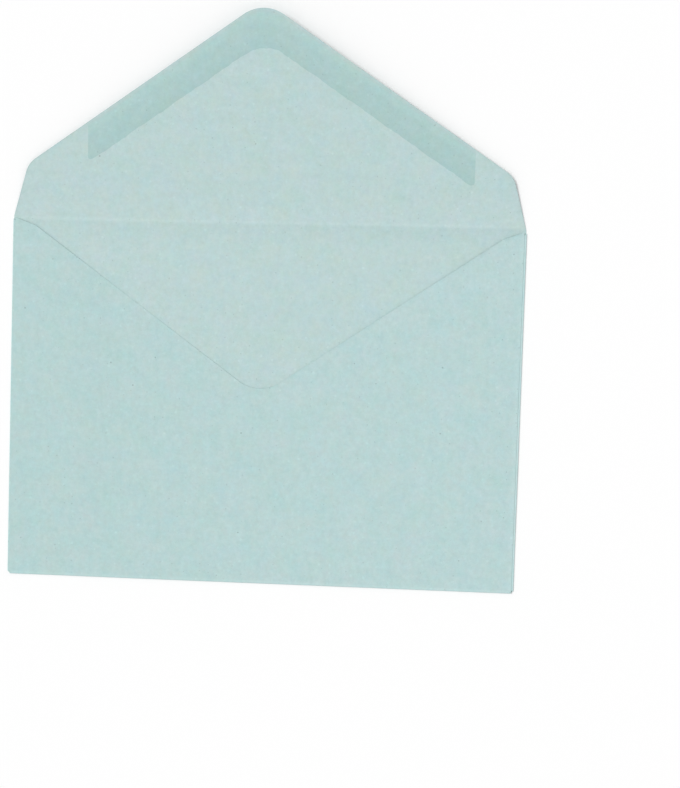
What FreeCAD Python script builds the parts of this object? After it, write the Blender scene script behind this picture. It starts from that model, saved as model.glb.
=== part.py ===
"""A small envelope folded and gummed from one sheet of paper, lying face down with its flap open.

Millimetres. X runs along the flap's crease, +Y points to the flap's tip and +Z is up. The origin is
the middle of the address side, which lies on the XY plane.
"""

import FreeCAD
import Part
import math
import os

# The closed envelope and its paper
WIDTH = 162.0
HEIGHT = 114.0
PAPER = 0.1

# The folds at the sides, and the notch that keeps two folds apart where they would meet at a corner
SIDE_FOLD_RADIUS = 0.1
CORNER_RELIEF = 0.5

# The closing flap. Its length runs from the crease to where its two slants would meet.
FLAP_LENGTH = 68.7
FLAP_SHOULDER = 16.6
FLAP_TAPER = 4.5
FLAP_POINT_RADIUS = 11.0
FLAP_CORNER_RADIUS = 7.5
CREASE_RADIUS = 8.0
FLAP_RISE_DEGREES = 3.5

# Where the flap's point and the bottom of the throat lie along X. Both were cut off the middle.
FLAP_POINT_X = -2.9
THROAT_BOTTOM_X = -1.5

# The throat, the V cut into the top of the back panel. Depths and drops are below the crease.
THROAT_DEPTH = 54.3
THROAT_RADIUS = 11.3
THROAT_CORNER_DROP = 0.1
THROAT_SHOULDER_DROP = 2.5
THROAT_SHOULDER_WIDTH = 6.6
THROAT_SHOULDER_RADIUS = 3.0

# The side flaps, which lie hidden between the front and the back panel
SIDE_FLAP_WIDTH = 20.0
SIDE_FLAP_HEAD_DROP = 24.0
SIDE_FLAP_FOOT_RISE = 9.0
SIDE_FLAP_RADIUS = 4.0

# The gum that the flap is closed with. Its depth is measured along the flap. Its shift is how far the
# point of its inner side lies to the right of the flap's own.
FLAP_GUM_THICKNESS = 0.02
FLAP_GUM_EDGE_GAP = 0.6
FLAP_GUM_DEPTH = 11.7
FLAP_GUM_SHIFT = 0.6
FLAP_GUM_END_RADIUS = 1.0
FLAP_GUM_LEFT_MARGIN = 23.6
FLAP_GUM_RIGHT_MARGIN = 16.8

# The gum that holds the back panel to the side flaps
SEAM_GUM_THICKNESS = 0.04
SEAM_GUM_WIDTH = 5.0
SEAM_GUM_FROM_FOLD = 8.0
SEAM_GUM_END_GAP = 3.0

# Levels of the layers, from the address side up
SIDE_FLAP_Z = PAPER + 2 * SIDE_FOLD_RADIUS
SEAM_GUM_Z = SIDE_FLAP_Z + PAPER
BACK_Z = SEAM_GUM_Z + SEAM_GUM_THICKNESS
BOTTOM_FOLD_RADIUS = (BACK_Z - PAPER) / 2

# Where the flat front panel ends and each fold begins
FRONT_HALF = WIDTH / 2 - SIDE_FOLD_RADIUS - PAPER
FRONT_BOTTOM = -HEIGHT / 2 + BOTTOM_FOLD_RADIUS + PAPER
CREASE_Y = HEIGHT / 2
BACK_HALF = FRONT_HALF - CORNER_RELIEF
SIDE_FOLD_BOTTOM = FRONT_BOTTOM + CORNER_RELIEF
SIDE_FOLD_TOP = CREASE_Y - CORNER_RELIEF


def outline(corners):
    """The closed wire through corners (x, y, radius), each rounded by its radius."""
    starts, ends, middles = [], [], []
    for i, (x, y, radius) in enumerate(corners):
        corner = FreeCAD.Vector(x, y, 0)
        before = FreeCAD.Vector(*corners[i - 1][:2], 0)
        after = FreeCAD.Vector(*corners[(i + 1) % len(corners)][:2], 0)
        back = (before - corner).normalize()
        on = (after - corner).normalize()
        half = back.getAngle(on) / 2
        reach = radius / math.tan(half)
        starts.append(corner + back * reach)
        ends.append(corner + on * reach)
        towards_centre = (back + on).normalize()
        middles.append(corner + towards_centre * radius * (1 / math.sin(half) - 1))
    edges = []
    for i, (_, _, radius) in enumerate(corners):
        if radius:
            edges.append(Part.Arc(starts[i], middles[i], ends[i]).toShape())
        edges.append(Part.LineSegment(ends[i], starts[(i + 1) % len(corners)]).toShape())
    return Part.Wire(edges)


def layer(corners, bottom, thickness):
    """A flat layer of the given outline, from the level bottom up."""
    face = Part.Face(outline(corners))
    face.translate(FreeCAD.Vector(0, 0, bottom))
    return face.extrude(FreeCAD.Vector(0, 0, thickness))


def bend(start, end, radius, axis, degrees):
    """The paper's bend along the line from start to end, turned up about an axis above that line."""
    up = FreeCAD.Vector(0, 0, PAPER)
    section = Part.Face(Part.makePolygon([start, end, end + up, start + up, start]))
    above = FreeCAD.Vector(0, 0, PAPER + radius)
    return section.revolve(start + above, axis, degrees)


def front_panel():
    """The address side, from the bottom fold to the crease."""
    corners = [
        (-FRONT_HALF, FRONT_BOTTOM, CORNER_RELIEF),
        (FRONT_HALF, FRONT_BOTTOM, CORNER_RELIEF),
        (FRONT_HALF, CREASE_Y, 0),
        (-FRONT_HALF, CREASE_Y, 0),
    ]
    return layer(corners, 0, PAPER)


def side_fold(side):
    """The half-round fold along one side: side is -1 at the left and 1 at the right."""
    start = FreeCAD.Vector(side * FRONT_HALF, SIDE_FOLD_BOTTOM, 0)
    end = FreeCAD.Vector(side * FRONT_HALF, SIDE_FOLD_TOP, 0)
    return bend(start, end, SIDE_FOLD_RADIUS, FreeCAD.Vector(0, -side, 0), 180)


def side_flap_edges(distance):
    """The lowest and highest y of a side flap at a distance inwards from its fold."""
    share = distance / SIDE_FLAP_WIDTH
    low = SIDE_FOLD_BOTTOM + SIDE_FLAP_FOOT_RISE * share
    high = SIDE_FOLD_TOP - SIDE_FLAP_HEAD_DROP * share
    return low, high


def side_flap(side):
    """The narrow flap folded in from one side, which the back panel is gummed to."""
    inner = side * (FRONT_HALF - SIDE_FLAP_WIDTH)
    low, high = side_flap_edges(SIDE_FLAP_WIDTH)
    corners = [
        (side * FRONT_HALF, SIDE_FOLD_BOTTOM, 0),
        (inner, low, SIDE_FLAP_RADIUS),
        (inner, high, SIDE_FLAP_RADIUS),
        (side * FRONT_HALF, SIDE_FOLD_TOP, 0),
    ]
    return layer(corners, SIDE_FLAP_Z, PAPER)


def bottom_fold():
    """The half-round fold between the front and the back panel, around the side flaps' feet."""
    start = FreeCAD.Vector(-BACK_HALF, FRONT_BOTTOM, 0)
    end = FreeCAD.Vector(BACK_HALF, FRONT_BOTTOM, 0)
    return bend(start, end, BOTTOM_FOLD_RADIUS, FreeCAD.Vector(-1, 0, 0), 180)


def back_panel():
    """The panel folded up from the bottom over the side flaps, with the throat cut into its top."""
    shoulder_x = BACK_HALF - THROAT_SHOULDER_WIDTH
    shoulder_y = CREASE_Y - THROAT_SHOULDER_DROP
    corners = [
        (-BACK_HALF, FRONT_BOTTOM, 0),
        (BACK_HALF, FRONT_BOTTOM, 0),
        (BACK_HALF, CREASE_Y - THROAT_CORNER_DROP, 0),
        (shoulder_x, shoulder_y, THROAT_SHOULDER_RADIUS),
        (THROAT_BOTTOM_X, CREASE_Y - THROAT_DEPTH, THROAT_RADIUS),
        (-shoulder_x, shoulder_y, THROAT_SHOULDER_RADIUS),
        (-BACK_HALF, CREASE_Y - THROAT_CORNER_DROP, 0),
    ]
    return layer(corners, BACK_Z, PAPER)


def flap_crease():
    """The opened crease, a shallow bend that the flap rises from."""
    start = FreeCAD.Vector(-FRONT_HALF, CREASE_Y, 0)
    end = FreeCAD.Vector(FRONT_HALF, CREASE_Y, 0)
    return bend(start, end, CREASE_RADIUS, FreeCAD.Vector(1, 0, 0), FLAP_RISE_DEGREES)


def raised(shape):
    """A shape drawn level with the front panel beyond the crease, turned up with the flap."""
    axis_point = FreeCAD.Vector(0, CREASE_Y, PAPER + CREASE_RADIUS)
    return shape.rotate(axis_point, FreeCAD.Vector(1, 0, 0), FLAP_RISE_DEGREES)


def flap():
    """The closing flap: steep short sides, two long slants and a rounded point."""
    corner_x = FRONT_HALF - FLAP_TAPER
    corner_y = CREASE_Y + FLAP_SHOULDER
    corners = [
        (-FRONT_HALF, CREASE_Y, 0),
        (FRONT_HALF, CREASE_Y, 0),
        (corner_x, corner_y, FLAP_CORNER_RADIUS),
        (FLAP_POINT_X, CREASE_Y + FLAP_LENGTH, FLAP_POINT_RADIUS),
        (-corner_x, corner_y, FLAP_CORNER_RADIUS),
    ]
    return raised(layer(corners, 0, PAPER))


def slant_y(x):
    """The y of the flap's slanted edge at x, on the flap laid level."""
    corner_x = math.copysign(FRONT_HALF - FLAP_TAPER, x - FLAP_POINT_X)
    share = (x - corner_x) / (FLAP_POINT_X - corner_x)
    return CREASE_Y + FLAP_SHOULDER + (FLAP_LENGTH - FLAP_SHOULDER) * share


def flap_gum():
    """The band of dry gum inside the flap's edge. Its two long sides both run along that edge, and
    the pointed ends of the inner one are blunt.
    """
    left = -WIDTH / 2 + FLAP_GUM_LEFT_MARGIN
    right = WIDTH / 2 - FLAP_GUM_RIGHT_MARGIN

    def line_below_edge(drop, shift, end_radius):
        return [
            (left, slant_y(left - shift) - drop, end_radius),
            (FLAP_POINT_X + shift, CREASE_Y + FLAP_LENGTH - drop, FLAP_POINT_RADIUS),
            (right, slant_y(right - shift) - drop, end_radius),
        ]

    outer = line_below_edge(FLAP_GUM_EDGE_GAP, 0, 0)
    inner_drop = FLAP_GUM_EDGE_GAP + FLAP_GUM_DEPTH
    inner = line_below_edge(inner_drop, FLAP_GUM_SHIFT, FLAP_GUM_END_RADIUS)
    return raised(layer(outer + inner[::-1], PAPER, FLAP_GUM_THICKNESS))


def seam_gum(side):
    """The strip of gum between one side flap and the back panel, with ends cut like the flap's."""
    near = SEAM_GUM_FROM_FOLD
    far = SEAM_GUM_FROM_FOLD + SEAM_GUM_WIDTH
    near_low, near_high = side_flap_edges(near)
    far_low, far_high = side_flap_edges(far)
    corners = [
        (side * (FRONT_HALF - near), near_low + SEAM_GUM_END_GAP, 0),
        (side * (FRONT_HALF - far), far_low + SEAM_GUM_END_GAP, 0),
        (side * (FRONT_HALF - far), far_high - SEAM_GUM_END_GAP, 0),
        (side * (FRONT_HALF - near), near_high - SEAM_GUM_END_GAP, 0),
    ]
    return layer(corners, SEAM_GUM_Z, SEAM_GUM_THICKNESS)


def folded_paper():
    """The whole sheet as one solid: panels, flaps and the folds between them."""
    pieces = [bottom_fold(), back_panel(), flap_crease(), flap()]
    for side in (-1, 1):
        pieces += [side_fold(side), side_flap(side)]
    return front_panel().fuse(pieces).removeSplitter().Solids[0]


def main():
    nodes = {
        "folded_paper": folded_paper(),
        "flap_gum": flap_gum(),
        "seam_gum_left": seam_gum(-1),
        "seam_gum_right": seam_gum(1),
    }
    os.makedirs("parts", exist_ok=True)
    for name, shape in nodes.items():
        shape.exportStep(f"parts/{name}.step")


main()
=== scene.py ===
import math
import random

import bpy
import numpy as np
from mathutils import Matrix, Vector
from mathutils.geometry import delaunay_2d_cdt


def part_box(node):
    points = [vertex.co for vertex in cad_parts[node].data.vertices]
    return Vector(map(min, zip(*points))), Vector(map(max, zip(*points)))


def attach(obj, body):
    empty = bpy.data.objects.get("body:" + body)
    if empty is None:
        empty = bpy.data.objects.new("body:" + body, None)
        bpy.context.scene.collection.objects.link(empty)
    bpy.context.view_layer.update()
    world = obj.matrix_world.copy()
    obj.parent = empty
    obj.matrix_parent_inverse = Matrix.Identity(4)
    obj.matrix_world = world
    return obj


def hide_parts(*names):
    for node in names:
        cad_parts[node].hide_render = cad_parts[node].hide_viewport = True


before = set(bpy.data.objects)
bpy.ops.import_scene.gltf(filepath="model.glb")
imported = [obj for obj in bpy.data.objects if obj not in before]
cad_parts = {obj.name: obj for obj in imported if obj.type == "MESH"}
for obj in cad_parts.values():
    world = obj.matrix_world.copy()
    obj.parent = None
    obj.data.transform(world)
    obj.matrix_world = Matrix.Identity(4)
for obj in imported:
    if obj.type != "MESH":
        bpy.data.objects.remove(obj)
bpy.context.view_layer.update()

# Lengths are in millimetres up to the making of a mesh, a light or the camera
MM = 0.001
SHEET_LOW, SHEET_HIGH = (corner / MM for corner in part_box("folded_paper"))
GUM_LOW, GUM_HIGH = (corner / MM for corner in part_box("flap_gum"))

# The paper and its folds
PAPER = 0.1
SIDE_FOLD_RADIUS = 0.1
BOTTOM_FOLD_RADIUS = 0.17
CREASE_RADIUS = 8.0
CREASE_ANGLE = math.radians(3.5)
CORNER_RELIEF = 0.5
FRONT_HALF = SHEET_HIGH.x - SIDE_FOLD_RADIUS - PAPER
FRONT_BOTTOM = SHEET_LOW.y + BOTTOM_FOLD_RADIUS + PAPER
CREASE_Y = -SHEET_LOW.y
BACK_HALF = FRONT_HALF - CORNER_RELIEF
SIDE_FOLD_BOTTOM = FRONT_BOTTOM + CORNER_RELIEF
SIDE_FOLD_TOP = CREASE_Y - CORNER_RELIEF

# How much of the flat blank each fold takes up
SIDE_ARC = math.pi * (SIDE_FOLD_RADIUS + PAPER / 2)
BOTTOM_ARC = math.pi * (BOTTOM_FOLD_RADIUS + PAPER / 2)
CREASE_ARC = CREASE_ANGLE * (CREASE_RADIUS + PAPER / 2)

# The closing flap
FLAP_LENGTH = 68.7
FLAP_SHOULDER = 16.6
FLAP_TAPER = 4.5
FLAP_POINT_X = -2.9
FLAP_POINT_RADIUS = 11.0
FLAP_CORNER_RADIUS = 7.5
FLAP_ROOT = CREASE_Y + CREASE_ARC

# The throat
THROAT_DEPTH = 54.3
THROAT_BOTTOM_X = -1.5
THROAT_RADIUS = 11.3
THROAT_CORNER_DROP = 0.1
THROAT_SHOULDER_DROP = 2.5
THROAT_SHOULDER_WIDTH = 6.6
THROAT_SHOULDER_RADIUS = 3.0

# The hidden side flaps
SIDE_FLAP_WIDTH = 20.0
SIDE_FLAP_HEAD_DROP = 24.0
SIDE_FLAP_FOOT_RISE = 9.0
SIDE_FLAP_RADIUS = 4.0

# The gum
FLAP_GUM_THICKNESS = 0.02
FLAP_GUM_EDGE_GAP = 0.6
FLAP_GUM_DEPTH = 11.7
FLAP_GUM_SHIFT = 0.6
FLAP_GUM_END_RADIUS = 1.0
SEAM_GUM_THICKNESS = 0.04
SEAM_GUM_WIDTH = 5.0
SEAM_GUM_FROM_FOLD = 8.0
SEAM_GUM_END_GAP = 3.0

# How far apart the points of a mesh are, and how far the grid is from a border
GRID = 1.6
GRID_MARGIN = 0.45 * GRID
ARC_POINTS = 0.6
FOLD_STEPS = 8
CREASE_STEPS = 3
ROWS_BESIDE_FOLD = (0.2, 0.45, 0.8, 1.3)

# Distances that count as none
SHORTEST_EDGE = 1e-4
SAME_POINT = 1e-5

# How the paper departs from a true plane
WAVE_HEIGHT = 0.05
WAVE_LENGTHS = (31.0, 47.0, 68.0, 95.0)
WAVE_SEED = 7
SAG = 0.22
SAG_LEAN = 0.0021
SAG_REACH = 15.0
SAG_FOOT = 24.0
FLAP_DROOP = 0.25

# The bead along the opened crease, and how far it lies off the crease and slants across it
RIDGE_HEIGHT = 0.035
RIDGE_WIDTH = 0.5
RIDGE_UNEVENNESS = 0.3
RIDGE_SLOW, RIDGE_FAST = 5.3, 2.1
CREASE_OFFSET = 0.45
CREASE_SKEW = 0.01

# How far the folds' wear and painted highlight reach beside a fold, how strong they are there, and
# where the painted shade along the throat's edge sets in
WEAR_AND_HIGHLIGHT_REACH = 0.55
WEAR_AND_HIGHLIGHT_LEFT = 0.15
WEAR_AND_HIGHLIGHT_RIGHT = 1.0
WEAR_AND_HIGHLIGHT_BOTTOM = 0.7
THROAT_SHADE_START = 38.0
THROAT_SHADE_END = 63.0

# How far the gum's inner edge strays from its line, and over what lengths
GUM_WOBBLE = 0.09
GUM_WOBBLE_LENGTHS = (14.0, 6.3, 2.9)

# Where a blank's two faces lie in the texture map
MAP_SIZE = 430.0
MAP_U = 105.0
MAP_V = 175.0
MAP_FACE_SHIFT = 215.0
MAP_OUTER_SIDES = (MAP_U - FRONT_HALF, MAP_U + FRONT_HALF)
MAP_INNER_SIDES = (MAP_U + MAP_FACE_SHIFT - FRONT_HALF, MAP_U + MAP_FACE_SHIFT + FRONT_HALF)


def unit(vector):
    """The vector scaled to a length of one."""
    return vector / np.linalg.norm(vector)


def smooth_step(value):
    """Nought below 0, one above 1 and a smooth rise between."""
    value = min(max(value, 0.0), 1.0)
    return value * value * (3 - 2 * value)


def arc_at(corner, before, after, radius):
    """Points of the arc that rounds a corner, given unit vectors towards its two neighbours."""
    half = math.acos(before @ after) / 2
    centre = corner + unit(before + after) * radius / math.sin(half)
    start = corner + before * radius / math.tan(half) - centre
    turn = math.pi - 2 * half
    if before[0] * after[1] - before[1] * after[0] > 0:
        turn = -turn
    steps = max(3, math.ceil(abs(turn) * radius / ARC_POINTS))
    points = []
    for step in range(steps + 1):
        c, s = math.cos(turn * step / steps), math.sin(turn * step / steps)
        points.append(centre + np.array((c * start[0] - s * start[1], s * start[0] + c * start[1])))
    return points


def outline(corners):
    """Points round a closed outline of corners (u, v, radius), no further apart than the grid."""
    points = []
    for i, (u, v, radius) in enumerate(corners):
        corner = np.array((u, v))
        if not radius:
            points.append(corner)
            continue
        before = unit(np.array(corners[i - 1][:2]) - corner)
        after = unit(np.array(corners[(i + 1) % len(corners)][:2]) - corner)
        points += arc_at(corner, before, after, radius)
    spaced = []
    for point, following in zip(points, points[1:] + points[:1]):
        length = np.linalg.norm(following - point)
        if length < SHORTEST_EDGE:
            continue
        parts = math.ceil(length / GRID)
        spaced += [point + (following - point) * part / parts for part in range(parts)]
    return np.array(spaced)


def steps_between(start, end, steps):
    """Plain corners (u, v, 0) from start to end, both included."""
    return [
        (start[0] + (end[0] - start[0]) * i / steps, start[1] + (end[1] - start[1]) * i / steps, 0)
        for i in range(steps + 1)
    ]


def mirrored(corners):
    """The same corners on the other side of the middle, in the order that keeps the way round."""
    return [(-u, v, radius) for u, v, radius in reversed(corners)]


def side_flap_corners():
    """Corners of the right side flap and its fold in the flat blank, from the bottom up."""
    fold_end = FRONT_HALF + SIDE_ARC
    tip = fold_end + SIDE_FLAP_WIDTH
    corners = steps_between((FRONT_HALF, SIDE_FOLD_BOTTOM), (fold_end, SIDE_FOLD_BOTTOM), FOLD_STEPS)
    corners += [
        (tip, SIDE_FOLD_BOTTOM + SIDE_FLAP_FOOT_RISE, SIDE_FLAP_RADIUS),
        (tip, SIDE_FOLD_TOP - SIDE_FLAP_HEAD_DROP, SIDE_FLAP_RADIUS),
    ]
    return corners + steps_between((fold_end, SIDE_FOLD_TOP), (FRONT_HALF, SIDE_FOLD_TOP), FOLD_STEPS)


def back_v(y):
    """Where a point of the back panel at y lies in the flat blank."""
    return FRONT_BOTTOM - BOTTOM_ARC - (y - FRONT_BOTTOM)


def back_corners():
    """Corners of the right half of the back panel and its fold in the flat blank, from the throat."""
    shoulder = (
        BACK_HALF - THROAT_SHOULDER_WIDTH,
        back_v(CREASE_Y - THROAT_SHOULDER_DROP),
        THROAT_SHOULDER_RADIUS,
    )
    top = (BACK_HALF, back_v(CREASE_Y - THROAT_CORNER_DROP), 0)
    fold = steps_between((BACK_HALF, FRONT_BOTTOM - BOTTOM_ARC), (BACK_HALF, FRONT_BOTTOM), FOLD_STEPS)
    return [shoulder, top] + fold + [(FRONT_HALF, FRONT_BOTTOM, CORNER_RELIEF)]


def blank_corners():
    """Corners of the whole flat blank, anticlockwise from the bottom of the throat."""
    corner = (FRONT_HALF - FLAP_TAPER, FLAP_ROOT + FLAP_SHOULDER, FLAP_CORNER_RADIUS)
    root = steps_between((FRONT_HALF, CREASE_Y), (FRONT_HALF, FLAP_ROOT), CREASE_STEPS)
    right = back_corners() + side_flap_corners() + root + [corner]
    throat = (THROAT_BOTTOM_X, back_v(CREASE_Y - THROAT_DEPTH), THROAT_RADIUS)
    point = (FLAP_POINT_X, FLAP_ROOT + FLAP_LENGTH, FLAP_POINT_RADIUS)
    return [throat] + right + [point] + mirrored(right)


def fold_rows():
    """Rows of points of the blank along its folds, close enough together to bend between them."""
    bottom = [FRONT_BOTTOM - BOTTOM_ARC * i / FOLD_STEPS for i in range(FOLD_STEPS + 1)]
    crease = [CREASE_Y + CREASE_ARC * i / CREASE_STEPS for i in range(CREASE_STEPS + 1)]
    side = [FRONT_HALF + SIDE_ARC * i / FOLD_STEPS for i in range(FOLD_STEPS + 1)]
    rows = [row_between((-BACK_HALF, v), (BACK_HALF, v)) for v in bottom]
    rows += [row_between((-FRONT_HALF, v), (FRONT_HALF, v)) for v in crease]
    for u in side:
        rows.append(row_between((u, SIDE_FOLD_BOTTOM), (u, SIDE_FOLD_TOP)))
        rows.append(row_between((-u, SIDE_FOLD_BOTTOM), (-u, SIDE_FOLD_TOP)))
    return rows + rows_beside_folds()


def rows_beside_folds():
    """Shorter rows on the flat paper beside each fold."""
    rows = []
    for gap in ROWS_BESIDE_FOLD:
        levels = (FRONT_BOTTOM + gap, FRONT_BOTTOM - BOTTOM_ARC - gap, CREASE_Y - gap, FLAP_ROOT + gap)
        for v in levels:
            rows.append(row_between((GRID - BACK_HALF, v), (BACK_HALF - GRID, v)))
        for u in (FRONT_HALF - gap, FRONT_HALF + SIDE_ARC + gap):
            low, high = SIDE_FOLD_BOTTOM + GRID, SIDE_FOLD_TOP - GRID
            rows += [row_between((u, low), (u, high)), row_between((-u, low), (-u, high))]
    return rows


def row_between(start, end):
    """Points from start to end, both included, as far apart as the grid."""
    steps = math.ceil(math.dist(start, end) / GRID)
    return [corner[:2] for corner in steps_between(start, end, steps)]


def off_the_folds(u, v):
    """Whether a point of the blank is clear of the rows along the folds."""
    clear = ROWS_BESIDE_FOLD[-1] + GRID / 2
    if FRONT_BOTTOM - BOTTOM_ARC - clear < v < FRONT_BOTTOM + clear:
        return False
    if CREASE_Y - clear < v < FLAP_ROOT + clear:
        return False
    beside_side_fold = FRONT_HALF - clear < abs(u) < FRONT_HALF + SIDE_ARC + clear
    return not (beside_side_fold and SIDE_FOLD_BOTTOM < v < SIDE_FOLD_TOP)


def grid_inside(border):
    """Grid points inside the border and clear of it."""
    start, end = border, np.roll(border, -1, axis=0)
    along = end - start
    squared = (along ** 2).sum(1)
    low, high = border.min(0), border.max(0)
    points = []
    for v in np.arange(low[1] + GRID / 2, high[1], GRID):
        crossed = (start[:, 1] > v) != (end[:, 1] > v)
        crossings = start[crossed, 0] + (v - start[crossed, 1]) * along[crossed, 0] / along[crossed, 1]
        for u in np.arange(low[0] + GRID / 2, high[0], GRID):
            if (crossings > u).sum() % 2 == 0:
                continue
            away = np.array((u, v)) - start
            share = np.clip((away * along).sum(1) / squared, 0, 1)
            if ((away - along * share[:, None]) ** 2).sum(1).min() > GRID_MARGIN ** 2:
                points.append((u, v))
    return points


def folded(u, v, height):
    """Where a point of the blank goes when it is folded. Height is counted from the outer face in."""
    if abs(u) > FRONT_HALF:
        reach, z = folded_over(abs(u) - FRONT_HALF, SIDE_FOLD_RADIUS, SIDE_ARC, height)
        return math.copysign(FRONT_HALF + reach, u), v, z
    if v < FRONT_BOTTOM:
        reach, z = folded_over(FRONT_BOTTOM - v, BOTTOM_FOLD_RADIUS, BOTTOM_ARC, height)
        return u, FRONT_BOTTOM - reach, z
    if v > CREASE_Y:
        reach, z = risen(v - CREASE_Y, height)
        return u, CREASE_Y + reach, z
    return u, v, height


def folded_over(distance, inner_radius, arc, height):
    """(how far out, how high) a point lies that is this far past the start of a fold of 180 degrees."""
    radius = inner_radius + PAPER - height
    angle = math.pi * min(distance / arc, 1.0)
    beyond = max(distance - arc, 0.0)
    return radius * math.sin(angle) - beyond, inner_radius + PAPER - radius * math.cos(angle)


def risen(distance, height):
    """(how far out, how high) a point lies that is this far past the start of the crease."""
    radius = CREASE_RADIUS + PAPER - height
    angle = CREASE_ANGLE * min(distance / CREASE_ARC, 1.0)
    beyond = max(distance - CREASE_ARC, 0.0)
    reach = radius * math.sin(angle) + beyond * math.cos(angle)
    return reach, CREASE_RADIUS + PAPER - radius * math.cos(angle) + beyond * math.sin(angle)


def make_waves():
    """Slow waves in all directions, as (wave vector, phase) pairs."""
    chance = random.Random(WAVE_SEED)
    waves = []
    for length in WAVE_LENGTHS:
        heading = chance.uniform(0, math.pi)
        turns = 2 * math.pi / length
        waves.append((turns * math.cos(heading), turns * math.sin(heading), chance.uniform(0, 6.28)))
    return waves


WAVES = make_waves()


def wave(x, y):
    """How far the paper at (x, y) is lifted by its slow waves, never below nought."""
    lift = sum(1 + math.cos(a * x + b * y + phase) for a, b, phase in WAVES)
    return WAVE_HEIGHT * lift / len(WAVES)


def off_side_flap(x, y):
    """How far a point of the back panel lies beyond the side flap that holds it up."""
    from_fold = FRONT_HALF - abs(x)
    slope = SIDE_FLAP_HEAD_DROP / SIDE_FLAP_WIDTH
    above = (y - SIDE_FOLD_TOP + slope * from_fold) / math.hypot(1, slope)
    return max(from_fold - SIDE_FLAP_WIDTH, above)


def sag(x, y):
    """How far the back panel sinks where no side flap holds it up, a little more at the left."""
    share = smooth_step(off_side_flap(x, y) / SAG_REACH) * smooth_step((y - FRONT_BOTTOM) / SAG_FOOT)
    return (SAG - SAG_LEAN * x) * share


def past_crease(u, v):
    """How far a point of the blank lies past the opened crease's bead, which isn't quite straight."""
    return v - CREASE_Y - CREASE_OFFSET - CREASE_SKEW * u


def ridge(u, v):
    """The bead that the opened crease leaves on the paper's inner face."""
    distance = past_crease(u, v) / RIDGE_WIDTH
    unevenness = 1 + RIDGE_UNEVENNESS * math.sin(u / RIDGE_SLOW) * math.sin(u / RIDGE_FAST + 1)
    return RIDGE_HEIGHT * unevenness * math.exp(-distance * distance)


def placed(u, v, height):
    """Where a point of the blank lies in the folded and slightly uneven sheet, in metres."""
    x, y, z = folded(u, v, height)
    z += wave(x, y)
    if v < FRONT_BOTTOM and abs(u) <= FRONT_HALF:
        z -= sag(x, y)
    if abs(u) <= FRONT_HALF and v > FRONT_BOTTOM:
        z += ridge(u, v) * height / PAPER
    if v > CREASE_Y:
        z -= FLAP_DROOP * ((v - CREASE_Y) / FLAP_LENGTH) ** 2
    return x * MM, y * MM, z * MM


def border_edges(triangles):
    """The edges that only one triangle has, each in that triangle's direction."""
    edges = [edge for a, b, c in triangles for edge in ((a, b), (b, c), (c, a))]
    known = set(edges)
    return [(a, b) for a, b in edges if (b, a) not in known]


def nearness(distance, arc):
    """One where a distance past a fold's start is still on the fold, falling to nought beside it."""
    beside = max(abs(distance - arc / 2) - arc / 2, 0.0)
    return math.exp(-((beside / WEAR_AND_HIGHLIGHT_REACH) ** 2))


def fold_wear_and_highlight(u, v):
    """How pale the folds between front and back are at a point of the blank, with wear, and with a
    painted highlight that is strongest at the right and the bottom.
    """
    if v > CREASE_Y:
        return 0.0
    side = WEAR_AND_HIGHLIGHT_RIGHT if u > 0 else WEAR_AND_HIGHLIGHT_LEFT
    at_side = side * nearness(abs(u) - FRONT_HALF, SIDE_ARC)
    at_bottom = WEAR_AND_HIGHLIGHT_BOTTOM * nearness(FRONT_BOTTOM - v, BOTTOM_ARC)
    return max(at_side, at_bottom)


def darkened_edge(u, v):
    """How dark a point of the cut edge is painted: the whole flap's edge, and with painted shade the
    throat's edge at the right.
    """
    if v > FLAP_ROOT:
        return 1.0
    on_throat = v < FRONT_BOTTOM - BOTTOM_ARC and abs(u) < BACK_HALF - PAPER
    return smooth_step((u - THROAT_SHADE_START) / (THROAT_SHADE_END - THROAT_SHADE_START)) if on_throat else 0.0


def triangulated(border, inside, rows):
    """(points, triangles, whether each point is on the border) of a flat piece of the blank."""
    flat = [Vector(point) for point in border] + [Vector(point) for point in inside]
    links = []
    for row in rows:
        links += [(len(flat) + i, len(flat) + i + 1) for i in range(len(row) - 1)]
        flat += [Vector(point) for point in row]
    only_inside = 1
    result = delaunay_2d_cdt(flat, links, [list(range(len(border)))], only_inside, SAME_POINT)
    points, triangles, sources = result[0], [tuple(face) for face in result[2]], result[3]
    on_border = [min(origins, default=len(border)) < len(border) for origins in sources]
    return points, triangles, on_border


def folded_mesh(name, points, triangles, low, high):
    """The mesh of a flat piece, folded, from its lower height to its upper one."""
    count = len(points)
    vertices = [placed(point.x, point.y, low) for point in points]
    vertices += [placed(point.x, point.y, high) for point in points]
    rim = border_edges(triangles)
    upper_rim = [(a + count, b + count) for a, b in rim]
    faces = [(c, b, a) for a, b, c in triangles]
    faces += [(a + count, b + count, c + count) for a, b, c in triangles]
    faces += [(a, b, b + count, a + count) for a, b in rim]
    mesh = bpy.data.meshes.new(name)
    mesh.from_pydata(vertices, [], faces)
    smooth = [True] * (2 * len(triangles)) + [False] * len(rim)
    mesh.polygons.foreach_set("use_smooth", smooth)
    sharp = {frozenset(edge) for edge in rim + upper_rim}
    for edge in mesh.edges:
        edge.use_edge_sharp = frozenset(edge.vertices) in sharp
    return mesh


def paper_piece(name, border, inside, rows, low, high):
    """(object, its flat points) of a folded piece of the blank, with what its material reads."""
    points, triangles, on_border = triangulated(border, inside, rows)
    mesh = folded_mesh(name, points, triangles, low, high)
    add_map(mesh, points)
    # A darker line along the flap's cut edge, and painted shade along the throat's edge at the right
    edge_darkening = [darkened_edge(point.x, point.y) if cut else 0.0 for cut, point in zip(on_border, points)]
    add_values(mesh, "inner", [0.0] * len(points) + [1.0] * len(points))
    add_values(mesh, "fold", [fold_wear_and_highlight(point.x, point.y) for point in points] * 2)
    add_values(mesh, "crease", [past_crease(point.x, point.y) for point in points] * 2)
    add_values(mesh, "edge_darkening", edge_darkening * 2)
    piece = bpy.data.objects.new(name, mesh)
    bpy.context.scene.collection.objects.link(piece)
    return piece, points


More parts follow.
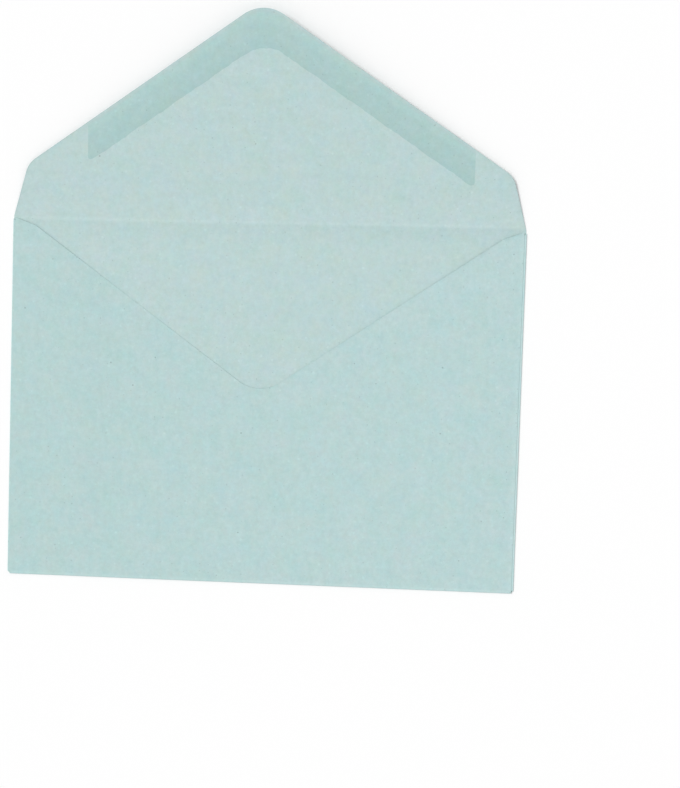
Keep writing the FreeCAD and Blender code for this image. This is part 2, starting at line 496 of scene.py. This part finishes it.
def add_map(mesh, points):
    """A texture map with the blank's outer face at the left and its inner face at the right."""
    count = len(points)
    layer = mesh.uv_layers.new(name="blank")
    for loop in mesh.loops:
        point = points[loop.vertex_index % count]
        shift = MAP_FACE_SHIFT if loop.vertex_index >= count else 0.0
        place = ((point.x + MAP_U + shift) / MAP_SIZE, (point.y + MAP_V) / MAP_SIZE)
        layer.data[loop.index].uv = place


def add_values(mesh, name, values):
    """A named number at each vertex of the mesh, for its material."""
    attribute = mesh.attributes.new(name, "FLOAT", "POINT")
    attribute.data.foreach_set("value", values)


def finish_piece(piece, material, node):
    """Gives a piece its material, hangs it on the root body, and hides the node it stands for."""
    piece.data.materials.append(material)
    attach(piece, "root")
    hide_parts(node)


def make_folded_paper(material):
    """The whole sheet with its panels, flaps and folds."""
    border = outline(blank_corners())
    inside = [point for point in grid_inside(border) if off_the_folds(*point)]
    piece, _ = paper_piece("envelope_paper", border, inside, fold_rows(), 0.0, PAPER)
    finish_piece(piece, material, "folded_paper")


def slant_v(u):
    """The v of the flap's slanted edge at u, as if its point weren't rounded."""
    corner_u = math.copysign(FRONT_HALF - FLAP_TAPER, u - FLAP_POINT_X)
    share = (u - corner_u) / (FLAP_POINT_X - corner_u)
    return FLAP_ROOT + FLAP_SHOULDER + (FLAP_LENGTH - FLAP_SHOULDER) * share


def gum_side(drop, shift):
    """Points from left to right along the flap's edge, lowered by a drop and shifted to the right."""
    left = np.array((GUM_LOW.x, slant_v(GUM_LOW.x - shift) - drop))
    right = np.array((GUM_HIGH.x, slant_v(GUM_HIGH.x - shift) - drop))
    point = np.array((FLAP_POINT_X + shift, FLAP_ROOT + FLAP_LENGTH - drop))
    rounded = arc_at(point, unit(left - point), unit(right - point), FLAP_POINT_RADIUS)
    return np.array([left, *rounded, right])


def gum_wobble(u):
    """How far the gum's inner edge strays from its line at u."""
    return GUM_WOBBLE * sum(math.sin(math.tau * u / length + length) for length in GUM_WOBBLE_LENGTHS)


def make_flap_gum(material):
    """The band of gum on the flap, with a number from 0 at its outer side to 1 at its inner side."""
    outer = gum_side(FLAP_GUM_EDGE_GAP, 0)
    inner = gum_side(FLAP_GUM_EDGE_GAP + FLAP_GUM_DEPTH, FLAP_GUM_SHIFT)

    def share_inwards(u, v):
        top = np.interp(u, outer[:, 0], outer[:, 1])
        bottom = np.interp(u, inner[:, 0], inner[:, 1])
        return (top - v) / (top - bottom)

    corners = [(u, v, 0) for u, v in (*inner, *outer[::-1])]
    for end in (0, len(inner) - 1):
        corners[end] = (*inner[end], FLAP_GUM_END_RADIUS)
    border = np.array([(u, v + gum_wobble(u) * share_inwards(u, v)) for u, v in outline(corners)])
    top = PAPER + FLAP_GUM_THICKNESS
    piece, points = paper_piece("gum_band", border, grid_inside(border), [], PAPER, top)
    add_values(piece.data, "band", [share_inwards(point.x, point.y) for point in points] * 2)
    finish_piece(piece, material, "flap_gum")


def make_seam_gum(side, node, material):
    """The strip of gum between one side flap and the back panel."""
    sides = []
    for distance in (SEAM_GUM_FROM_FOLD, SEAM_GUM_FROM_FOLD + SEAM_GUM_WIDTH):
        share = distance / SIDE_FLAP_WIDTH
        low = SIDE_FOLD_BOTTOM + SIDE_FLAP_FOOT_RISE * share + SEAM_GUM_END_GAP
        high = SIDE_FOLD_TOP - SIDE_FLAP_HEAD_DROP * share - SEAM_GUM_END_GAP
        sides.append((FRONT_HALF + SIDE_ARC + distance, low, high))
    (near, near_low, near_high), (far, far_low, far_high) = sides
    corners = [(near, near_low, 0), (far, far_low, 0), (far, far_high, 0), (near, near_high, 0)]
    border = outline(corners if side > 0 else mirrored(corners))
    inside = grid_inside(border)
    piece, _ = paper_piece(node + "_strip", border, inside, [], -SEAM_GUM_THICKNESS, 0.0)
    finish_piece(piece, material, node)


# What spreads a noise that keeps to the middle of 0 to 1 out to about -1 to 1
NOISE_SPREAD = 4.0

# A fibre's bend, and the shares of its half width and half length that have its full strength
FIBRE_BEND = 0.8
FIBRE_CORE_WIDTH = 0.4
FIBRE_CORE_LENGTH = 0.7

# The share of a speck's radius that has its full strength, and how fine its uneven outline is
SPECK_CORE = 0.6
SPECK_UNEVENNESS_PER_MM = 3.0


class Shader:
    """A node material, with short calls that add nodes to it."""

    def __init__(self, name):
        self.material = bpy.data.materials.new(name)
        self.material.use_nodes = True
        self.tree = self.material.node_tree
        self.surface = self.tree.nodes["Principled BSDF"]

    def put(self, socket, value):
        """Links a node's output to the socket, or sets the socket to a plain value."""
        if isinstance(value, bpy.types.NodeSocket):
            self.tree.links.new(value, socket)
        else:
            socket.default_value = value

    def node(self, kind, inputs, **settings):
        """A new node with these settings, and its inputs by name or number."""
        node = self.tree.nodes.new(kind)
        for name, value in settings.items():
            setattr(node, name, value)
        for name, value in inputs.items():
            self.put(node.inputs[name], value)
        return node

    def math(self, operation, *values):
        """The output of a sum, product or other operation on numbers."""
        inputs = dict(enumerate(values))
        return self.node("ShaderNodeMath", inputs, operation=operation).outputs[0]

    def vector(self, operation, *values):
        """The output of an operation on vectors."""
        inputs = dict(enumerate(values))
        return self.node("ShaderNodeVectorMath", inputs, operation=operation).outputs[0]

    def scaled(self, vector, factor):
        """The vector times a plain number."""
        inputs = {"Vector": vector, "Scale": factor}
        return self.node("ShaderNodeVectorMath", inputs, operation="SCALE").outputs[0]

    def noise(self, place, per_mm, detail=2.0, roughness=0.6):
        """A noise from about -1 to 1 around nought, with this many waves to a millimetre."""
        inputs = {"Vector": place, "Scale": per_mm, "Detail": detail, "Roughness": roughness}
        noise = self.node("ShaderNodeTexNoise", inputs, noise_dimensions="2D")
        return self.math("MULTIPLY_ADD", noise.outputs["Fac"], NOISE_SPREAD, -NOISE_SPREAD / 2)

    def range(self, value, start, end):
        """Nought at start, one at end and smooth between, whichever of the two is larger."""
        inputs = {"Value": value, "From Min": min(start, end), "From Max": max(start, end)}
        inputs.update({"To Min": float(start > end), "To Max": float(start < end)})
        return self.node("ShaderNodeMapRange", inputs, interpolation_type="SMOOTHSTEP").outputs[0]

    def attribute(self, name):
        """A number kept at the vertices of the mesh."""
        return self.node("ShaderNodeAttribute", {}, attribute_name=name).outputs["Fac"]

    def set(self, **values):
        """Sets the surface's own sockets. Underscores stand for spaces."""
        for name, value in values.items():
            self.put(self.surface.inputs[name.replace("_", " ")], value)


def blank_place(shader):
    """The place on the flat blank in millimetres."""
    place = shader.node("ShaderNodeUVMap", {}, uv_map="blank").outputs["UV"]
    return shader.scaled(place, MAP_SIZE)


def across_map(shader, place):
    """How far the place lies across the map."""
    return shader.node("ShaderNodeSeparateXYZ", {"Vector": place}).outputs["X"]


def moved(shader, place, u, v):
    """The place moved across the map, so that a pattern isn't laid on itself."""
    return shader.vector("ADD", place, (u, v, 0.0))


def between(shader, share, first, second):
    """The first plain number where share is 0, the second where it is 1."""
    return shader.math("MULTIPLY_ADD", share, second - first, first)


def blended(shader, share, first, second):
    """The first vector or colour where share is 0, the second where it is 1."""
    inputs = {"Factor": share, "A": first, "B": second}
    return shader.node("ShaderNodeMix", inputs, data_type="VECTOR").outputs["Result"]


def scattered(shader, place, cell):
    """One spot a cell: (place from the spot's middle, three random numbers of that spot)."""
    inputs = {"Vector": place, "Scale": 1 / cell}
    cells = shader.node("ShaderNodeTexVoronoi", inputs, voronoi_dimensions="2D").outputs
    local = shader.vector("SUBTRACT", place, cells["Position"])
    chances = shader.node("ShaderNodeSeparateColor", {"Color": cells["Color"]}).outputs
    return local, chances


def fibres(shader, place, cell, half_length, half_width):
    """Short bent fibres lying in all directions, one a cell, as a number from 0 to 1."""
    local, chances = scattered(shader, place, cell)
    turn = shader.math("MULTIPLY", chances[0], math.tau)
    inputs = {"Vector": local, "Angle": turn}
    turned = shader.node("ShaderNodeVectorRotate", inputs, rotation_type="Z_AXIS").outputs[0]
    along, aside, _ = shader.node("ShaderNodeSeparateXYZ", {"Vector": turned}).outputs
    bend = shader.math("MULTIPLY", shader.math("SUBTRACT", chances[1], 0.5), FIBRE_BEND)
    bowed = shader.math("MULTIPLY", shader.math("MULTIPLY", along, along), bend)
    aside = shader.math("ABSOLUTE", shader.math("SUBTRACT", aside, bowed))
    along = shader.math("ABSOLUTE", along)
    thin = shader.range(aside, half_width, half_width * FIBRE_CORE_WIDTH)
    short = shader.range(along, half_length, half_length * FIBRE_CORE_LENGTH)
    return shader.math("MULTIPLY", thin, short)


def specks(shader, place, cell, share, smallest, largest):
    """Sparse specks of uneven outline, as a number from 0 to 1."""
    inputs = {"Vector": place, "Scale": SPECK_UNEVENNESS_PER_MM}
    push = shader.node("ShaderNodeTexNoise", inputs).outputs["Color"]
    push = shader.vector("SUBTRACT", push, (0.5, 0.5, 0.5))
    pushed = shader.vector("ADD", place, shader.scaled(push, largest))
    local, chances = scattered(shader, pushed, cell)
    size = between(shader, chances[1], smallest, largest)
    length = shader.node("ShaderNodeVectorMath", {"Vector": local}, operation="LENGTH")
    distance = length.outputs["Value"]
    spot = shader.range(shader.math("DIVIDE", distance, size), 1.0, SPECK_CORE)
    return shader.math("MULTIPLY", spot, shader.math("LESS_THAN", chances[0], share))


# The recycled paper's pattern: each amount is a share of its brightness
CLOUD = 0.009
MOTTLE = 0.038
FLOCK = 0.023
GRAIN = 0.014
DARK_FIBRES = 0.06
PALE_FIBRES = 0.06
PALE_FLECKS = 0.055
DARK_SPECKS = 0.3
FAINT_SPECKS = 0.17

# How many times stronger that pattern is on the outer face than on the inner one
OUTER_TEXTURE = 1.07

# How far the red and the blue drift apart from the green, as shares of the brightness
RED_DRIFT_OUTER = 0.066
RED_DRIFT_INNER = 0.057
BLUE_DRIFT_OUTER = 0.031
BLUE_DRIFT_INNER = 0.046

# How much paler the folds are with wear and painted highlight, and the cut edges; how much darker the
# flap's edge and the throat's edge are, the throat's with painted shade, and how steeply that fades
FOLD_WEAR_AND_HIGHLIGHT = 0.1
CUT_EDGE = 0.05
EDGE_DARKENING = 0.08
EDGE_DARKENING_FALL = 3.0

# The painted highlight along the crease's bead, and the painted shade beside it at its left and its
# right end
BEAD_HIGHLIGHT = 0.022
BEAD_HIGHLIGHT_UNEVENNESS = 0.35
SHADE_LEFT = 0.012
SHADE_RIGHT = 0.036

# Where the crease's painted highlight and painted shade, and the painted light on the flap beside it,
# set in and are full, in millimetres past its bead
BEAD_HIGHLIGHT_RANGE = (1.0, 0.1)
SHADE_RANGE_ABOVE = (0.2, -0.9)
SHADE_RANGE_BELOW = (-8.0, -1.5)
LIT_RANGE_ABOVE = (9.0, 1.5)
LIT_RANGE_BELOW = (-0.6, 0.2)

# How much streaks change the gum's brightness, and smears the adhesive's brightness and roughness
GUM_STREAKS = 0.012
SEAM_GUM_SMEARS = 0.05

# The tooth's height in millimetres, the mottle's share in it, and its strength on paper and on gum
TOOTH = 0.012
TOOTH_MOTTLE = 0.6
PAPER_TOOTH = 0.6
GUM_TOOTH = 0.35

# How rough each surface is, and how much that changes
PAPER_ROUGHNESS = 0.88
PAPER_ROUGHNESS_CHANGE = 0.03
GUM_ROUGHNESS = 0.55
GUM_ROUGHNESS_CHANGE = 0.04
SEAM_GUM_ROUGHNESS = 0.6

# Colours
OUTER_LEFT = (0.459, 0.625, 0.618)
OUTER_RIGHT = (0.471, 0.634, 0.631)
INNER_COLOR = (0.483, 0.631, 0.623)
# The closing flap's inner face beside the crease, paler with painted light
CREASE_LIT_COLOR = (0.495, 0.637, 0.629)
GUM_EDGE = (0.450, 0.590, 0.575)
SEAM_GUM_COLOR = (0.55, 0.62, 0.58)

# The gum's next colours from its outer side in: (where one sets in, where it is full, the colour)
GUM_TONES = (
    (0.0, 0.12, (0.412, 0.596, 0.575)),
    (0.15, 0.4, (0.389, 0.566, 0.553)),
    (0.55, 1.0, (0.375, 0.550, 0.538)),
)


def paper_brightness(shader, place):
    """The paper's mottle, fibres and specks as a factor about one, and the height of its tooth."""
    grain = shader.noise(place, per_mm=4.5)
    mottle = shader.noise(place, per_mm=0.35, detail=3.0, roughness=0.9)
    flock = shader.noise(moved(shader, place, 53, 7), per_mm=0.65, detail=1.0, roughness=0.8)
    pale_place = moved(shader, place, 37, 11)
    fleck_place = moved(shader, place, 17, 83)
    faint_place = moved(shader, place, 5, 61)
    parts = [
        (shader.noise(place, per_mm=0.13, detail=1.0), CLOUD),
        (mottle, MOTTLE),
        (flock, FLOCK),
        (grain, GRAIN),
        (fibres(shader, place, cell=0.5, half_length=0.3, half_width=0.02), -DARK_FIBRES),
        (fibres(shader, pale_place, cell=0.45, half_length=0.32, half_width=0.022), PALE_FIBRES),
        (specks(shader, fleck_place, cell=3.6, share=0.35, smallest=0.2, largest=0.5), PALE_FLECKS),
        (specks(shader, place, cell=7.0, share=0.07, smallest=0.14, largest=0.32), -DARK_SPECKS),
        (specks(shader, faint_place, cell=2.6, share=0.14, smallest=0.12, largest=0.26), -FAINT_SPECKS),
    ]
    total = 1.0
    for value, amount in parts:
        total = shader.math("MULTIPLY_ADD", value, amount, total)
    height = shader.math("MULTIPLY_ADD", mottle, TOOTH_MOTTLE, grain)
    return total, height


def crease_light_and_shade(shader, place, brightness):
    """The brightness with a painted highlight along the crease's bead, and painted shade on the front
    panel's side of it.
    """
    distance = shader.attribute("crease")
    uneven = shader.math("MULTIPLY_ADD", shader.noise(place, per_mm=0.2), BEAD_HIGHLIGHT_UNEVENNESS, 1.0)
    # The painted highlight along the crease's bead
    bead = shader.range(shader.math("ABSOLUTE", distance), *BEAD_HIGHLIGHT_RANGE)
    bead = shader.math("MULTIPLY", bead, uneven)
    # The painted shade on the front panel's side of the crease, deeper towards the right
    above = shader.range(distance, *SHADE_RANGE_ABOVE)
    shade = shader.math("MULTIPLY", above, shader.range(distance, *SHADE_RANGE_BELOW))
    share = shader.range(across_map(shader, place), *MAP_INNER_SIDES)
    shade = shader.math("MULTIPLY", shade, between(shader, share, SHADE_LEFT, SHADE_RIGHT))
    change = shader.math("SUBTRACT", shader.math("MULTIPLY", bead, BEAD_HIGHLIGHT), shade)
    return shader.math("MULTIPLY_ADD", change, shader.attribute("inner"), brightness)


def lit_beside_crease(shader):
    """How much of the painted light beside the crease, a paler tone, a point of the closing flap's
    inner face has.
    """
    distance = shader.attribute("crease")
    above = shader.range(distance, *LIT_RANGE_ABOVE)
    share = shader.math("MULTIPLY", above, shader.range(distance, *LIT_RANGE_BELOW))
    return shader.math("MULTIPLY", share, shader.attribute("inner"))


def tinted(shader, color, brightness, place, red_drift=RED_DRIFT_INNER, blue_drift=BLUE_DRIFT_INNER):
    """The colour times the brightness, drifting a little in its red and its blue."""
    red = shader.noise(place, per_mm=0.115, detail=3.0, roughness=0.92)
    red = shader.math("MULTIPLY_ADD", red, red_drift, brightness)
    blue = shader.noise(moved(shader, place, 71, 29), per_mm=0.105, detail=3.0, roughness=0.88)
    blue = shader.math("MULTIPLY_ADD", blue, blue_drift, brightness)
    factors = shader.node("ShaderNodeCombineXYZ", {"X": red, "Y": brightness, "Z": blue})
    return shader.vector("MULTIPLY", color, factors.outputs["Vector"])


def add_tooth(shader, height, strength):
    """Makes the surface catch the light as if it had this height, in shares of the tooth's."""
    bump = {"Height": height, "Distance": TOOTH * MM, "Strength": strength}
    shader.set(Normal=shader.node("ShaderNodeBump", bump).outputs[0])


def with_wear_and_painted_light(shader, place, brightness):
    """The brightness with the folds' wear and painted highlight, the crease's painted highlight and
    shade, the paler cut edges, and the darker edges with painted shade along the throat's right part.
    """
    inner = shader.attribute("inner")
    # Folds paler with wear, and with a painted highlight mostly at the right and the bottom
    brightness = shader.math("MULTIPLY_ADD", shader.attribute("fold"), FOLD_WEAR_AND_HIGHLIGHT, brightness)
    brightness = crease_light_and_shade(shader, place, brightness)
    # Nought on both faces, and a quarter halfway through the paper's thickness
    cut = shader.math("MULTIPLY", inner, shader.math("SUBTRACT", 1.0, inner))
    brightness = shader.math("MULTIPLY_ADD", cut, CUT_EDGE / 0.25, brightness)
    # A darker line along the flap's cut edge, and painted shade along the throat's edge at the right
    edge_darkening = shader.math("POWER", shader.attribute("edge_darkening"), EDGE_DARKENING_FALL)
    return shader.math("MULTIPLY_ADD", edge_darkening, -EDGE_DARKENING, brightness)


def paper_material():
    """Uncoated recycled paper, paler where it is folded or cut, with painted highlight on its folds and
    at its crease, painted shade beside the crease and along the throat's edge, and painted light on the
    flap beside the crease.
    """
    shader = Shader("recycled_paper")
    place = blank_place(shader)
    pattern, height = paper_brightness(shader, place)
    inner = shader.attribute("inner")
    strength = between(shader, inner, OUTER_TEXTURE, 1.0)
    brightness = shader.math("MULTIPLY_ADD", shader.math("SUBTRACT", pattern, 1.0), strength, 1.0)
    brightness = with_wear_and_painted_light(shader, place, brightness)
    side = shader.range(across_map(shader, place), *MAP_OUTER_SIDES)
    color = blended(shader, side, OUTER_LEFT, OUTER_RIGHT)
    color = blended(shader, inner, color, INNER_COLOR)
    # Painted light on the closing flap's inner face beside the crease
    color = blended(shader, lit_beside_crease(shader), color, CREASE_LIT_COLOR)
    red_drift = between(shader, inner, RED_DRIFT_OUTER, RED_DRIFT_INNER)
    blue_drift = between(shader, inner, BLUE_DRIFT_OUTER, BLUE_DRIFT_INNER)
    shader.set(Base_Color=tinted(shader, color, brightness, place, red_drift, blue_drift))
    roughness = shader.math("MULTIPLY_ADD", height, PAPER_ROUGHNESS_CHANGE, PAPER_ROUGHNESS)
    shader.set(Roughness=roughness, Specular_IOR_Level=0.3)
    add_tooth(shader, height, PAPER_TOOTH)
    return shader.material


def flap_gum_material():
    """Dry gum on the same paper: darker and smoother, and deepest along its inner side."""
    shader = Shader("dry_gum")
    place = blank_place(shader)
    brightness, height = paper_brightness(shader, place)
    streaks = shader.noise(place, per_mm=0.5, detail=3.0)
    brightness = shader.math("MULTIPLY_ADD", streaks, GUM_STREAKS, brightness)
    color = GUM_EDGE
    for start, full, tone in GUM_TONES:
        color = blended(shader, shader.range(shader.attribute("band"), start, full), color, tone)
    shader.set(Base_Color=tinted(shader, color, brightness, place))
    roughness = shader.math("MULTIPLY_ADD", streaks, GUM_ROUGHNESS_CHANGE, GUM_ROUGHNESS)
    shader.set(Roughness=roughness, Specular_IOR_Level=0.4)
    add_tooth(shader, height, GUM_TOOTH)
    return shader.material


def seam_gum_material():
    """The dried adhesive between the side flaps and the back panel."""
    shader = Shader("dried_adhesive")
    place = blank_place(shader)
    brightness = shader.math("MULTIPLY_ADD", shader.noise(place, per_mm=0.8), SEAM_GUM_SMEARS, 1.0)
    shader.set(Base_Color=tinted(shader, SEAM_GUM_COLOR, brightness, place))
    smears = shader.noise(place, per_mm=2.0)
    shader.set(Roughness=shader.math("MULTIPLY_ADD", smears, SEAM_GUM_SMEARS, SEAM_GUM_ROUGHNESS))
    return shader.material


# The floor, whose size is in metres
FLOOR_COLOR = (0.955, 0.955, 0.955, 1.0)
FLOOR_SIZE = 30.0


def make_floor():
    """A plain pale floor at the level that the envelope lies on."""
    half = FLOOR_SIZE / 2
    mesh = bpy.data.meshes.new("floor")
    corners = [(-half, -half, 0), (half, -half, 0), (half, half, 0), (-half, half, 0)]
    mesh.from_pydata(corners, [], [(0, 1, 2, 3)])
    floor = bpy.data.objects.new("floor", mesh)
    bpy.context.scene.collection.objects.link(floor)
    shader = Shader("pale_floor")
    shader.set(Base_Color=FLOOR_COLOR, Roughness=0.9, Specular_IOR_Level=0.1)
    mesh.materials.append(shader.material)


def aim(thing, place, target, up=(0.0, 1.0, 0.0)):
    """Puts a light or the camera at a place, looking at a target."""
    forward = (Vector(target) - Vector(place)).normalized()
    right = forward.cross(Vector(up)).normalized()
    axes = Matrix((right, right.cross(forward), -forward)).transposed()
    thing.matrix_world = Matrix.Translation(place) @ axes.to_4x4()


def make_sun(name, place, spread, strength):
    """A large soft light a long way off in the direction of a place, spread over an angle."""
    data = bpy.data.lights.new(name, "SUN")
    data.angle = spread
    data.energy = strength
    light = bpy.data.objects.new(name, data)
    bpy.context.scene.collection.objects.link(light)
    aim(light, place, (0, 0, 0))


# The even light from all round, and the soft key light
SKY_COLOR = (1.0, 1.0, 1.0, 1.0)
SKY = 0.67
KEY_STRENGTH = 1.5
KEY_SPREAD = math.radians(26)
KEY_PLACE = (-0.7, 0.38, 1.0)


def make_lights():
    """Even light from all round, with a soft key light from the upper left."""
    world = bpy.data.worlds.new("studio")
    world.use_nodes = True
    background = world.node_tree.nodes["Background"]
    background.inputs["Color"].default_value = SKY_COLOR
    background.inputs["Strength"].default_value = SKY
    bpy.context.scene.world = world
    make_sun("key", KEY_PLACE, KEY_SPREAD, KEY_STRENGTH)


# The camera: its places are in metres, its lens and film in millimetres
CAMERA_PLACE = (0.05697, 0.04977, 0.58498)
CAMERA_TARGET = (0.0242, 0.0044, 0.0)
CAMERA_ROLL = math.radians(-1.76)
CAMERA_LENS = 85.0
CAMERA_FILM_HEIGHT = 36.0
CAMERA_CLIP = 0.01


def make_camera():
    """The camera, nearly straight above, as the photograph was taken."""
    data = bpy.data.cameras.new("camera")
    data.sensor_fit = "VERTICAL"
    data.sensor_height = CAMERA_FILM_HEIGHT
    data.lens = CAMERA_LENS
    data.clip_start = CAMERA_CLIP
    camera = bpy.data.objects.new("camera", data)
    bpy.context.scene.collection.objects.link(camera)
    up = (math.sin(CAMERA_ROLL), math.cos(CAMERA_ROLL), 0.0)
    aim(camera, CAMERA_PLACE, CAMERA_TARGET, up)
    bpy.context.scene.camera = camera


def set_colors():
    """Plain colours, as a scanner gives them."""
    settings = bpy.context.scene.view_settings
    settings.view_transform = "Standard"
    settings.look = "None"
    settings.exposure = 0.0
    settings.gamma = 1.0


# The envelope's pieces, the floor, the light and the camera
make_folded_paper(paper_material())
make_flap_gum(flap_gum_material())
seam_material = seam_gum_material()
make_seam_gum(-1, "seam_gum_left", seam_material)
make_seam_gum(1, "seam_gum_right", seam_material)
make_floor()
make_lights()
make_camera()
set_colors()
